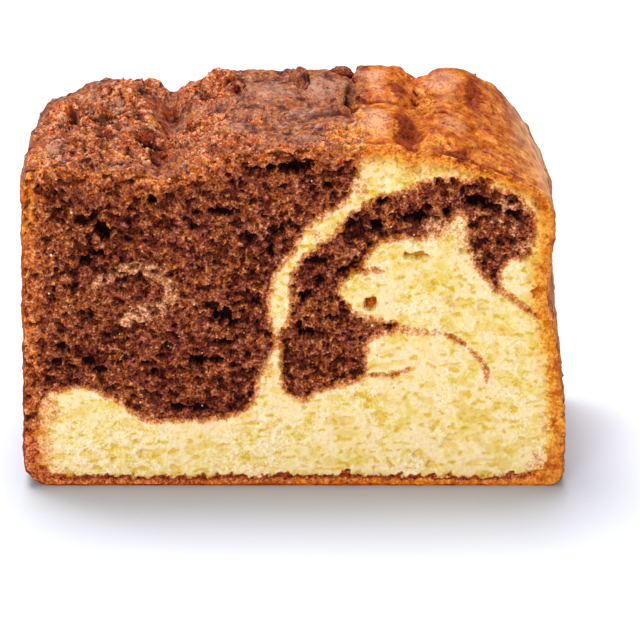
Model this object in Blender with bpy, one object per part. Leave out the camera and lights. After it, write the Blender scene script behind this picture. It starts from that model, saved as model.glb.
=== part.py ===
"""Marble loaf cake: one thick piece cut across the loaf, standing on its base.

+X runs across the loaf, from the cocoa side to the vanilla side, +Y runs along the loaf, away from
the front cut, and +Z is up. The origin is at the middle of the base. Lengths are in metres.
"""
import math

import bmesh
import bpy
import numpy as np

MM = 0.001

# ---- driving dimensions -------------------------------------------------------------------------
DEPTH = 50 * MM                 # between the two parallel cuts
CORNER_LEFT = 5.0 * MM          # rounding of the base's left edge
CORNER_RIGHT = 2.5 * MM         # rounding of the base's right edge
CREST_LEFT = 51.4 * MM          # where the crust turns from the left wall to the top
CREST_RIGHT = 49.6 * MM         # the same on the right

# Half widths of the loaf (height, distance from the middle) in mm, at the front and the back cut
LEFT_WALL = (
    ((0, 52.4), (8, 52.5), (26, 52.1), (50, 51.9), (57, 51.7), (60, 51.4), (72, 51.4)),
    ((0, 52.4), (8, 52.5), (26, 52.3), (50, 52.5), (56, 52.3), (60, 51.4), (72, 51.4)),
)
RIGHT_WALL = (
    ((0, 52.3), (10, 52.5), (23, 51.7), (33, 50.1), (40, 48.8), (47, 49.2), (54, 49.8), (57, 49.6),
     (72, 49.6)),
    ((0, 52.3), (10, 52.5), (30, 52.0), (45, 51.9), (50, 50.7), (53, 49.6), (72, 49.6)),
)
# Crest line (distance from the middle, height) in mm, at the front and the back cut, without cracks
CREST = (
    ((-51.4, 61.0), (-50.8, 63.3), (-49.4, 64.9), (-45, 65.3), (-35, 64.4), (-22, 64.2), (-10, 68.4),
     (5, 69.2), (17, 69.4), (27, 68.2), (35, 65.4), (43, 62.4), (48, 59.4), (49.6, 56.0)),
    ((-51.4, 60.0), (-49.6, 63.0), (-45, 64.8), (-37, 67.4), (-30, 67.6), (-22, 66.8), (-13, 69.6),
     (0, 69.5), (17, 68.9), (28, 68.7), (36, 68.4), (41, 65.2), (46, 59.2), (49.6, 52.6)),
)
# Swellings of the top crust: x, y, half length across, half length along, height, all in mm
LUMPS = (
    (-38, 9, 11, 17, 1.4),
    (-43, -14, 8, 10, 0.9),
    (-30, -4, 5, 9, 0.9),
    (-17, 12, 7, 10, 1.8),
    (-15, -13, 8, 11, 0.8),
    (-5, 4, 8, 13, 1.0),
    (4.5, 15, 6.5, 8, 1.7),
    (9.0, 6, 3.0, 4, 1.6),
    (7.5, -6, 5, 7, 0.9),
    (17.4, 22.5, 6.0, 7.5, 1.9),
    (18.0, 8.5, 6.0, 7.5, 1.9),
    (17.2, -9.5, 7.0, 10.5, 2.0),
    (31.0, 18, 6.8, 10.0, 1.7),
    (31.0, -1.5, 5.5, 8.0, 1.5),
    (29.5, -15, 6, 7.5, 1.1),
    (40.0, 8, 5, 18, 0.8),
)
# Cracks from cut to cut: x at the front, the middle and the back, half width,
# depth at the front and at the back, all in mm
CRACKS = (
    (-25.3, -23.2, -24.6, 2.4, 1.6, 2.4),
    (11.2, 11.6, 12.3, 1.1, 0.6, 1.1),
    (22.3, 24.0, 24.6, 1.9, 1.0, 2.2),
)
# Lattice cells of the block that is bent into the loaf's form
CELLS_ACROSS = 70
CELLS_ALONG = 34
CELLS_UP = 26
CROWD = 0.45                    # how much finer the cells are near the edges
FLAT_ANGLE = math.radians(0.2)  # faces within this angle are one plane
SHARP_ANGLE = math.radians(40)  # the cuts' rims stay sharp, the crust is shaded smooth


# ---- form ---------------------------------------------------------------------------------------
def mix(a, b, t):
    return a + (b - a) * t


def curve(keys, t):
    """Smooth curve through (t, value) keys that never swings past them, held level past its ends."""
    at, value = np.array(keys, float).T
    rise = np.diff(value) / np.diff(at)
    turning = rise[1:] * rise[:-1] <= 0
    both = np.where(turning, 1.0, rise[1:] + rise[:-1])
    inner = np.where(turning, 0.0, 2 * rise[1:] * rise[:-1] / both)
    slope = np.concatenate((rise[:1], inner, rise[-1:]))
    i = np.clip(np.searchsorted(at, t) - 1, 0, len(at) - 2)
    span = at[i + 1] - at[i]
    s = np.clip((t - at[i]) / span, 0.0, 1.0)
    start = (1 + 2 * s) * (1 - s) ** 2 * value[i] + s * (1 - s) ** 2 * slope[i] * span
    end = s * s * (3 - 2 * s) * value[i + 1] + s * s * (s - 1) * slope[i + 1] * span
    return start + end


def between_cuts(pair, t, w):
    """Value of a front and back pair of curves at the fraction w of the depth."""
    return mix(curve(pair[0], t), curve(pair[1], t), w)


def swelling(x, y):
    """Height in mm that the lumps add, as separate pillows with a crease wherever two meet."""
    height = np.zeros_like(x)
    for cx, cy, rx, ry, rise in LUMPS:
        far = ((x - cx) / rx) ** 2 + ((y - cy) / ry) ** 2
        height = np.maximum(height, rise * np.sqrt(np.clip(1.0 - far, 0.0, 1.0)))
    return height


def cracking(x, w):
    """Depth in mm of the cracks that run from cut to cut."""
    depth = np.zeros_like(x)
    for front, middle, back, half_width, front_depth, back_depth in CRACKS:
        centre = mix(mix(front, middle, w), mix(middle, back, w), w)
        groove = np.exp(-((x - centre) / half_width) ** 2)
        depth = np.maximum(depth, mix(front_depth, back_depth, w) * groove)
    return depth


def top_height(x, y, w):
    """Height of the crust in mm above the base."""
    return between_cuts(CREST, x, w) + swelling(x, y) - cracking(x, w)


def round_corner(x, z, side, radius):
    """Bend the square nests around a base corner into round nests about the corner arc's centre."""
    wall = LEFT_WALL if side < 0 else RIGHT_WALL
    centre = wall[0][1][1] * MM - radius
    across = side * x - centre
    below = radius - z
    inside = (across > 0) & (below > 0)
    far = np.hypot(across, below)
    pull = np.where(inside, np.maximum(across, below) / np.maximum(far, 1e-9), 1.0)
    return side * (centre + across * pull), radius - below * pull


def loaf_form(u, v, w):
    """Points of the loaf for the fractions u across, v up and w along."""
    y = (w - 0.5) * DEPTH
    top = top_height(mix(-CREST_LEFT, CREST_RIGHT, u) / MM, y / MM, w)
    z = v * top
    left = between_cuts(LEFT_WALL, z, w) * MM
    right = between_cuts(RIGHT_WALL, z, w) * MM
    x = mix(-left, right, u)
    z = z * MM
    x, z = round_corner(x, z, -1, CORNER_LEFT)
    x, z = round_corner(x, z, 1, CORNER_RIGHT)
    return np.stack((x, y, z), axis=1)


def crowd_edges(t):
    """Shift evenly spaced fractions towards 0 and 1."""
    return mix(t, 0.5 - 0.5 * np.cos(np.pi * t), CROWD)


# ---- pieces -------------------------------------------------------------------------------------
def block_lattice(bm):
    """A unit cube from 0 to 1, its faces cut into a lattice of cells."""
    bmesh.ops.create_cube(bm, size=1.0)
    bmesh.ops.translate(bm, verts=bm.verts, vec=(0.5, 0.5, 0.5))
    for axis, cells in enumerate((CELLS_ACROSS, CELLS_ALONG, CELLS_UP)):
        for cut in range(1, cells):
            at = [0.0, 0.0, 0.0]
            at[axis] = cut / cells
            normal = [0.0, 0.0, 0.0]
            normal[axis] = 1.0
            geometry = bm.verts[:] + bm.edges[:] + bm.faces[:]
            bmesh.ops.bisect_plane(bm, geom=geometry, plane_co=at, plane_no=normal)


def crumb_material():
    material = bpy.data.materials.new("marbled crumb")
    material.use_nodes = True
    shader = material.node_tree.nodes["Principled BSDF"]
    shader.inputs["Base Color"].default_value = (0.42, 0.20, 0.08, 1.0)
    shader.inputs["Roughness"].default_value = 0.75
    shader.inputs["Metallic"].default_value = 0.0
    material.diffuse_color = (0.42, 0.20, 0.08, 1.0)
    return material


def make_cake():
    bm = bmesh.new()
    block_lattice(bm)
    lattice = np.array([vert.co for vert in bm.verts])
    u, w, v = crowd_edges(lattice).T
    for vert, point in zip(bm.verts, loaf_form(u, v, w)):
        vert.co = point
    bmesh.ops.dissolve_limit(bm, angle_limit=FLAT_ANGLE, verts=bm.verts, edges=bm.edges)
    bmesh.ops.triangulate(bm, faces=bm.faces)
    bmesh.ops.recalc_face_normals(bm, faces=bm.faces)
    mesh = bpy.data.meshes.new("cake")
    bm.to_mesh(mesh)
    bm.free()
    mesh.shade_smooth()
    mesh.set_sharp_from_angle(angle=SHARP_ANGLE)
    mesh.materials.append(crumb_material())
    cake = bpy.data.objects.new("cake", mesh)
    bpy.context.scene.collection.objects.link(cake)
    return cake


for thing in list(bpy.data.objects):
    bpy.data.objects.remove(thing, do_unlink=True)
make_cake()
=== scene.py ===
# %% [markdown]
# # A thick slice of marble loaf cake
# The cake is one baked body with two kinds of surface. Two flat cuts show the crumb, an open sponge
# of cocoa and vanilla batter folded into each other. The rest is browned crust. So the visual model
# is two pieces that share one form: the crumb, and the crust that wraps it like a sleeve. Both are
# first modelled as a straight block in millimetres, with plain operators, and are then bent to the
# loaf's form. That way a thickness or a pore is given in the block, where it is easy to think about.

# %% Load the frame
import math
import random

import bmesh
import bpy
import numpy as np
from mathutils import Euler, Matrix, Vector, noise


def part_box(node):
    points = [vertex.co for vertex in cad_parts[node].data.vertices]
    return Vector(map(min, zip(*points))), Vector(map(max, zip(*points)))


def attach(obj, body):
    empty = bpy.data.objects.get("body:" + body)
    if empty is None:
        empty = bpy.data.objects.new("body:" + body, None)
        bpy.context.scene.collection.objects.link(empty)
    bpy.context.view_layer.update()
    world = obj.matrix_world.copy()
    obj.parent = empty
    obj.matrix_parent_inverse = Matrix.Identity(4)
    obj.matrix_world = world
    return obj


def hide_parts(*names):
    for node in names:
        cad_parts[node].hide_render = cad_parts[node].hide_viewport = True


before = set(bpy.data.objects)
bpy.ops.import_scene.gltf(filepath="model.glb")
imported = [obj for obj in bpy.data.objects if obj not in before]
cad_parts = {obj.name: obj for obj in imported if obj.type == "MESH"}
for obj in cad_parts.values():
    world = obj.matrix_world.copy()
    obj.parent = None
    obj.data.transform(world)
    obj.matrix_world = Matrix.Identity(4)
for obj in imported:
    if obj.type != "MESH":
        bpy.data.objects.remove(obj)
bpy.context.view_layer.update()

MM = 0.001
low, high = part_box("cake")
DEPTH = high.y - low.y
print(f"cake {(high - low) / MM} mm, {DEPTH / MM:.1f} mm between the cuts")

# %% [markdown]
# ## The loaf's form
# These are the same named curves and swellings as in the CAD part: half widths of the two walls, the
# crest line over the two cuts, the pillows of the top crust, and the cracks that cross it.

# %% Key sizes of the form, in mm
CORNER_LEFT = 5.0
CORNER_RIGHT = 2.5
CREST_LEFT = 51.4
CREST_RIGHT = 49.6
LEFT_WALL = (
    ((0, 52.4), (8, 52.5), (26, 52.1), (50, 51.9), (57, 51.7), (60, 51.4), (72, 51.4)),
    ((0, 52.4), (8, 52.5), (26, 52.3), (50, 52.5), (56, 52.3), (60, 51.4), (72, 51.4)),
)
RIGHT_WALL = (
    ((0, 52.3), (10, 52.5), (23, 51.7), (33, 50.1), (40, 48.8), (47, 49.2), (54, 49.8), (57, 49.6),
     (72, 49.6)),
    ((0, 52.3), (10, 52.5), (30, 52.0), (45, 51.9), (50, 50.7), (53, 49.6), (72, 49.6)),
)
CREST = (
    ((-51.4, 61.0), (-50.8, 63.3), (-49.4, 64.9), (-45, 65.3), (-35, 64.4), (-22, 64.2), (-10, 68.4),
     (5, 69.2), (17, 69.4), (27, 68.2), (35, 65.4), (43, 62.4), (48, 59.4), (49.6, 56.0)),
    ((-51.4, 60.0), (-49.6, 63.0), (-45, 64.8), (-37, 67.4), (-30, 67.6), (-22, 66.8), (-13, 69.6),
     (0, 69.5), (17, 68.9), (28, 68.7), (36, 68.4), (41, 65.2), (46, 59.2), (49.6, 52.6)),
)
LUMPS = (
    (-38, 9, 11, 17, 1.4),
    (-43, -14, 8, 10, 0.9),
    (-30, -4, 5, 9, 0.9),
    (-17, 12, 7, 10, 1.8),
    (-15, -13, 8, 11, 0.8),
    (-5, 4, 8, 13, 1.0),
    (4.5, 15, 6.5, 8, 1.7),
    (9.0, 6, 3.0, 4, 1.6),
    (7.5, -6, 5, 7, 0.9),
    (17.4, 22.5, 6.0, 7.5, 1.9),
    (18.0, 8.5, 6.0, 7.5, 1.9),
    (17.2, -9.5, 7.0, 10.5, 2.0),
    (31.0, 18, 6.8, 10.0, 1.7),
    (31.0, -1.5, 5.5, 8.0, 1.5),
    (29.5, -15, 6, 7.5, 1.1),
    (40.0, 8, 5, 18, 0.8),
)
CRACKS = (
    (-25.3, -23.2, -24.6, 2.4, 1.6, 2.4),
    (11.2, 11.6, 12.3, 1.1, 0.6, 1.1),
    (22.3, 24.0, 24.6, 1.9, 1.0, 2.2),
)


# %% Curves and the swellings of the crust
def mix(a, b, t):
    return a + (b - a) * t


def ease(start, end, t):
    """0 before start, 1 after end, and a smooth step between."""
    s = np.clip((t - start) / (end - start), 0.0, 1.0)
    return s * s * (3 - 2 * s)


def curve(keys, t):
    """Smooth curve through (t, value) keys that never swings past them, held level past its ends."""
    at, value = np.array(keys, float).T
    rise = np.diff(value) / np.diff(at)
    turning = rise[1:] * rise[:-1] <= 0
    both = np.where(turning, 1.0, rise[1:] + rise[:-1])
    inner = np.where(turning, 0.0, 2 * rise[1:] * rise[:-1] / both)
    slope = np.concatenate((rise[:1], inner, rise[-1:]))
    i = np.clip(np.searchsorted(at, t) - 1, 0, len(at) - 2)
    span = at[i + 1] - at[i]
    s = np.clip((t - at[i]) / span, 0.0, 1.0)
    start = (1 + 2 * s) * (1 - s) ** 2 * value[i] + s * (1 - s) ** 2 * slope[i] * span
    end = s * s * (3 - 2 * s) * value[i + 1] + s * s * (s - 1) * slope[i + 1] * span
    return start + end


def between_cuts(pair, t, w):
    return mix(curve(pair[0], t), curve(pair[1], t), w)


def swelling(x, y):
    """Height in mm that the lumps add, as separate pillows with a crease wherever two meet."""
    height = np.zeros_like(x)
    for cx, cy, rx, ry, rise in LUMPS:
        far = ((x - cx) / rx) ** 2 + ((y - cy) / ry) ** 2
        height = np.maximum(height, rise * np.sqrt(np.clip(1.0 - far, 0.0, 1.0)))
    return height


def cracking(x, w):
    """Depth in mm of the cracks that run from cut to cut."""
    depth = np.zeros_like(x)
    for front, middle, back, half_width, front_depth, back_depth in CRACKS:
        centre = mix(mix(front, middle, w), mix(middle, back, w), w)
        groove = np.exp(-((x - centre) / half_width) ** 2)
        depth = np.maximum(depth, mix(front_depth, back_depth, w) * groove)
    return depth


def round_corner(x, z, side, radius):
    """Bend the square nests around a base corner into round nests about the corner arc's centre."""
    wall = LEFT_WALL if side < 0 else RIGHT_WALL
    centre = wall[0][0][1] - radius
    across = side * x - centre
    below = radius - z
    inside = (across > 0) & (below > 0)
    far = np.hypot(across, below)
    pull = np.where(inside, np.maximum(across, below) / np.maximum(far, 1e-6), 1.0)
    return side * (centre + across * pull), radius - below * pull


# %% The straight block, and how it is bent to the loaf
BLOCK = Vector((105.0, DEPTH / MM, 70.0))


def bend_to_loaf(block):
    """Points of the loaf, in mm, for points of the straight block."""
    u = block[:, 0] / BLOCK.x + 0.5
    w = block[:, 1] / BLOCK.y + 0.5
    v = block[:, 2] / BLOCK.z
    y = block[:, 1]
    over = mix(-CREST_LEFT, CREST_RIGHT, u)
    z = v * (between_cuts(CREST, over, w) + swelling(over, y) - cracking(over, w))
    x = mix(-between_cuts(LEFT_WALL, z, w), between_cuts(RIGHT_WALL, z, w), u)
    x, z = round_corner(x, z, -1, CORNER_LEFT)
    x, z = round_corner(x, z, 1, CORNER_RIGHT)
    return np.stack((x, y, z), axis=1)


# %% [markdown]
# ## The marbling
# Cocoa and vanilla batter were spooned in turn and stirred once. Seen on a cut, the cocoa makes three
# bodies: a large mass on the left, a middle mass with a thin arm that hooks round, and an arch that
# ends in a blob. Outlines and strokes, each with only the points its shape needs, give every point a
# distance to the border, in mm, positive inside the cocoa. One field then colours both pieces.

# %% Outlines and strokes of the batters, in mm on the cut
LEFT_MASS = (
    (-70, 11.0), (-50.4, 12.0), (-48.6, 15.6), (-46.2, 18.8), (-40, 19.8), (-34, 16.9), (-29.5, 13.6), (-24, 13.1), (-16, 13.4), (-10, 15.0),
    (-7.2, 18.2), (-5.8, 23), (-4.6, 26), (-3.1, 29.4), (-3.6, 32), (-4.3, 36), (-3.8, 40), (-3.0, 43.6),
    (-1.0, 46.4), (0.9, 48.8), (2.8, 52.2), (6.4, 55.2), (10.2, 58.0), (12.2, 62), (12.9, 66), (12.9, 90),
    (-70, 90),
)
MIDDLE_MASS = (
    (-3.8, 31.2), (-2.8, 28.4), (-2.7, 24), (-2.5, 20.4), (0.0, 18.0), (2.2, 17.3), (4.8, 19.2), (10, 20.8),
    (14.1, 22.5), (14.4, 26), (14.6, 29.4), (16.6, 31.0), (20, 31.6), (20.4, 33.8), (16, 34.8), (12.6, 36.0),
    (10.4, 38.0), (9.2, 40.5), (10.6, 42.6), (12.8, 44.8), (14.8, 47.2), (17.4, 50.2), (20, 51.0),
    (24, 51.6), (25.6, 54), (20, 57), (14, 57.2), (10.6, 55.8), (8.2, 52.6), (5.2, 50.2), (2.4, 48.0),
    (0.2, 45.6), (-1.0, 42), (-1.0, 38), (-1.5, 34.4), (-2.7, 32.8),
)
ARCH = (
    (10.4, 55), (12.4, 57.2), (16, 59.3), (20.6, 60.9), (24.6, 62.6), (30, 63.0), (36.4, 62.6), (39, 60.9),
    (42.4, 60.0), (44.8, 57.2), (46.4, 54.8), (46.4, 51.6), (45.8, 48.2), (43.6, 46.2), (41.2, 46.0),
    (39.8, 43.2), (40, 41), (38.6, 39.6), (36.6, 42.2), (34.2, 45.0), (32.8, 49), (32.4, 53), (31.6, 55.4),
    (29.6, 52.8), (26.4, 50.3), (21, 50.6), (16, 50),
)
# Strokes: x, z and half width along each
ARM = ((17, 33.2, 1.0), (20, 32.6, 0.9), (24, 31.9, 0.6), (29, 31.3, 0.5), (33, 29.0, 0.45), (36, 26.2, 0.4),
       (37.4, 23.6, 0.45), (37.2, 21.8, 0.3))
FRINGE = ((12.6, 23.0, 0.7), (16, 23.0, 0.55), (20.4, 23.4, 0.5), (23.6, 25.2, 0.2))
FINGER = ((9, 45.4, 1.3), (12.4, 44.6, 1.2), (15.0, 44.6, 0.6), (17.2, 44.3, 0.3))
TAIL = ((39.4, 40.6, 0.9), (42, 38.4, 0.6), (44.6, 36.7, 0.6), (47, 35.0, 0.5))
LONE_PIT = ((14.4, 37.4, 0.9), (15.2, 37.8, 0.9))
COCOA_STROKES = (ARM, FRINGE, FINGER, TAIL, LONE_PIT)
# Half-mixed batter: a curl in the cocoa, and patches where the two are stirred together
CURL = ((-38, 41.6, 0.6), (-34, 43.8, 0.9), (-29, 44.8, 1.0), (-24.6, 42.6, 0.9), (-23.6, 39, 1.0),
        (-26.4, 36.2, 1.0), (-29, 35.8, 1.7), (-32.4, 34, 0.8))
STIRRED = (
    (40.1, 57.6, 2.6, 1.8, 0.6),
    (38.7, 54.2, 1.8, 0.7, 0.9),
    (42.1, 52.2, 1.4, 2.2, 0.5),
    (27.4, 52.6, 3.6, 3.4, 1.0),
    (31.6, 50.6, 3.0, 5.8, 0.55),
    (34.4, 47.0, 1.8, 2.6, 0.5),
    (41.8, 56.0, 1.8, 3.0, 0.45),
    (43.6, 49.0, 2.6, 1.8, 0.6),
    (-48.4, 42.5, 2.6, 3.6, 0.4),
    (12.8, 61.2, 2.4, 3.6, 0.8),
    (13.2, 36.0, 3.0, 3.4, 0.5),
    (11.0, 47.6, 3.4, 1.4, 0.45),
    (4.6, 51.4, 2.4, 1.6, 0.55),
    (-2.6, 46.2, 1.6, 1.2, 0.4),
    (-3.2, 31.8, 1.6, 1.4, 0.6),
    (-5.0, 24.0, 1.8, 4.8, 0.6),
    (-6.5, 52, 1.6, 3.0, 0.3),
    (24, 32.2, 7, 1.8, 0.5),
    (-47.4, 16.0, 3.4, 5.6, 0.75),
    (-48.6, 8.0, 3.0, 6.0, 0.7),
    (-47.5, 3.4, 4.5, 1.8, 0.6),
    (47.0, 5.0, 2.6, 3.0, 0.6),
)


# %% Distances to an outline and to a stroke
def smooth_points(keys, closed, steps=6):
    """Points along a Catmull-Rom curve through the keys."""
    keys = np.array(keys, float)
    if closed:
        padded = np.vstack((keys[-1:], keys, keys[:2]))
    else:
        padded = np.vstack((2 * keys[:1] - keys[1:2], keys, 2 * keys[-1:] - keys[-2:-1]))
    points = []
    for a, b, c, d in zip(padded, padded[1:], padded[2:], padded[3:]):
        for t in np.arange(steps) / steps:
            points.append(0.5 * (2 * b + (c - a) * t + (2 * a - 5 * b + 4 * c - d) * t ** 2
                                 + (3 * b - a - 3 * c + d) * t ** 3))
    if not closed:
        points.append(keys[-1])
    return np.array(points)


def inside_outline(x, z, keys):
    """Distance in mm to a closed outline, positive inside it."""
    points = smooth_points(keys, closed=True)
    nearest = np.full(len(x), 1e9)
    inside = np.zeros(len(x), bool)
    for (ax, az), (bx, bz) in zip(points, np.roll(points, -1, axis=0)):
        along = ((x - ax) * (bx - ax) + (z - az) * (bz - az)) / ((bx - ax) ** 2 + (bz - az) ** 2)
        along = np.clip(along, 0.0, 1.0)
        far = (x - ax - along * (bx - ax)) ** 2 + (z - az - along * (bz - az)) ** 2
        nearest = np.minimum(nearest, far)
        if az != bz:
            crosses = (az > z) != (bz > z)
            inside ^= crosses & (x < ax + (z - az) * (bx - ax) / (bz - az))
    return np.where(inside, 1, -1) * np.sqrt(nearest)


def inside_stroke(x, z, keys):
    """Distance in mm to the edge of a stroke, positive inside it."""
    best = np.full(len(x), -1e9)
    for px, pz, half_width in smooth_points(keys, closed=False):
        best = np.maximum(best, half_width - np.hypot(x - px, z - pz))
    return best


def spread_of(patches, x, z):
    """How strongly a point belongs to soft round patches (x, z, half length, half height, strength)."""
    strength = np.zeros(len(x))
    for cx, cz, rx, rz, most in patches:
        far = np.sqrt(((x - cx) / rx) ** 2 + ((z - cz) / rz) ** 2)
        strength = np.maximum(strength, most * (1 - ease(0.35, 1.1, far)))
    return strength


# %% Uneven values over the cake
def uneven(points, size, octaves=2, flat=1.0, shift=0.0):
    """Noise from about -1 to 1 at points in mm, with features of the given size, flattened in z."""
    scaled = points * (1 / size, 1 / size, flat / size) + shift
    return np.array([noise.fractal(p, 1.0, 2.0, octaves) for p in scaled.tolist()])


# %% The marbling as a field through the whole loaf
STIR_START = 3.0        # mm behind the front cut where the swirl begins to wander
STIR_REACH = 7.0        # how far, in mm, it has wandered at the back cut
BORDER_GRIP = 0.45      # mm that the two crumbs bite into each other along their border


def marbling(points):
    """Cocoa distance in mm and half-mixed share, 0 to 1, at points of the loaf."""
    x, y, z = points.T
    behind = ease(STIR_START, BLOCK.y, y + BLOCK.y / 2) * ease(66, 52, z)
    x = x + STIR_REACH * behind * uneven(points, 26, 1, shift=3.1)
    z = z + STIR_REACH * behind * uneven(points, 26, 1, shift=9.7)
    cocoa = inside_outline(x, z, LEFT_MASS)
    for outline in (MIDDLE_MASS, ARCH):
        cocoa = np.maximum(cocoa, inside_outline(x, z, outline))
    for stroke in COCOA_STROKES:
        cocoa = np.maximum(cocoa, inside_stroke(x, z, stroke))
    cocoa = cocoa + BORDER_GRIP * uneven(points, 1.5, 3, shift=41)
    half_mixed = spread_of(STIRRED, x, z)
    half_mixed = np.maximum(half_mixed, 0.95 * ease(-0.9, 0.5, inside_stroke(x, z, CURL)))
    return np.clip(cocoa, -6, 6), half_mixed


# %% [markdown]
# ## Browning
# Heat comes in from the skin. On a cut this shows as two bands: an outer rind of baked crust, and a
# slow golden shading inside it that fades to the pale crumb. The rind is orange along the top and the
# right wall, red-brown at the left, and along the base it has a dark upper edge. Both bands are worked
# out from the distance to each side of the straight block.

# %% Browning from the distance to each side
GOLD_REACH = {"top": 5.6, "right": 5.0, "left": 6.0, "base": 3.0}
RIND_REACH = {"top": 1.5, "right": 2.5, "left": 2.5, "base": 2.4}
RIND_LIGHT = {"top": 0.72, "right": 0.95, "left": 0.45, "base": 0.0}


def browning(block, points):
    """Slow golden shading, rind and how light that rind is, each 0 to 1."""
    wander = 1 + 0.30 * uneven(points, 3.5, 3, shift=21)
    ragged = 1.2 * uneven(points, 1.6, 3, shift=27)
    side = {
        "top": BLOCK.z - block[:, 2],
        "right": BLOCK.x / 2 - block[:, 0],
        "left": BLOCK.x / 2 + block[:, 0],
        "base": block[:, 2],
    }
    gold = sum(np.exp(-(side[name] / (0.62 * reach) * wander) ** 2) for name, reach in GOLD_REACH.items())
    to_wall = np.minimum(side["left"], side["right"])
    corner = mix(1.6, 3.2, block[:, 0] > 0) * np.exp(-(to_wall ** 2 + side["base"] ** 2) / 6.5 ** 2)
    ragged = ragged - corner
    rind, light = np.zeros(len(block)), np.zeros(len(block))
    for name, reach in RIND_REACH.items():
        here = 1 - ease(reach - 0.8, reach + 0.8, side[name] + ragged)
        shade = RIND_LIGHT[name] + (0.48 * ease(28, 64, block[:, 2]) if name == "left" else 0)
        if name == "base":
            shade = mix(0.35, 0.7, block[:, 0] > 0) * ease(13, 4, to_wall)
        light = np.where(here > rind, shade, light)
        rind = np.maximum(rind, here)
    base_foot = (1 - ease(1.1, 1.8, side["base"] + 0.5 * ragged)) * mix(0.55, 0.85, ease(-40, 50, points[:, 0]))
    return np.clip(gold, 0, 1), rind, np.maximum(light, base_foot)
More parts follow.
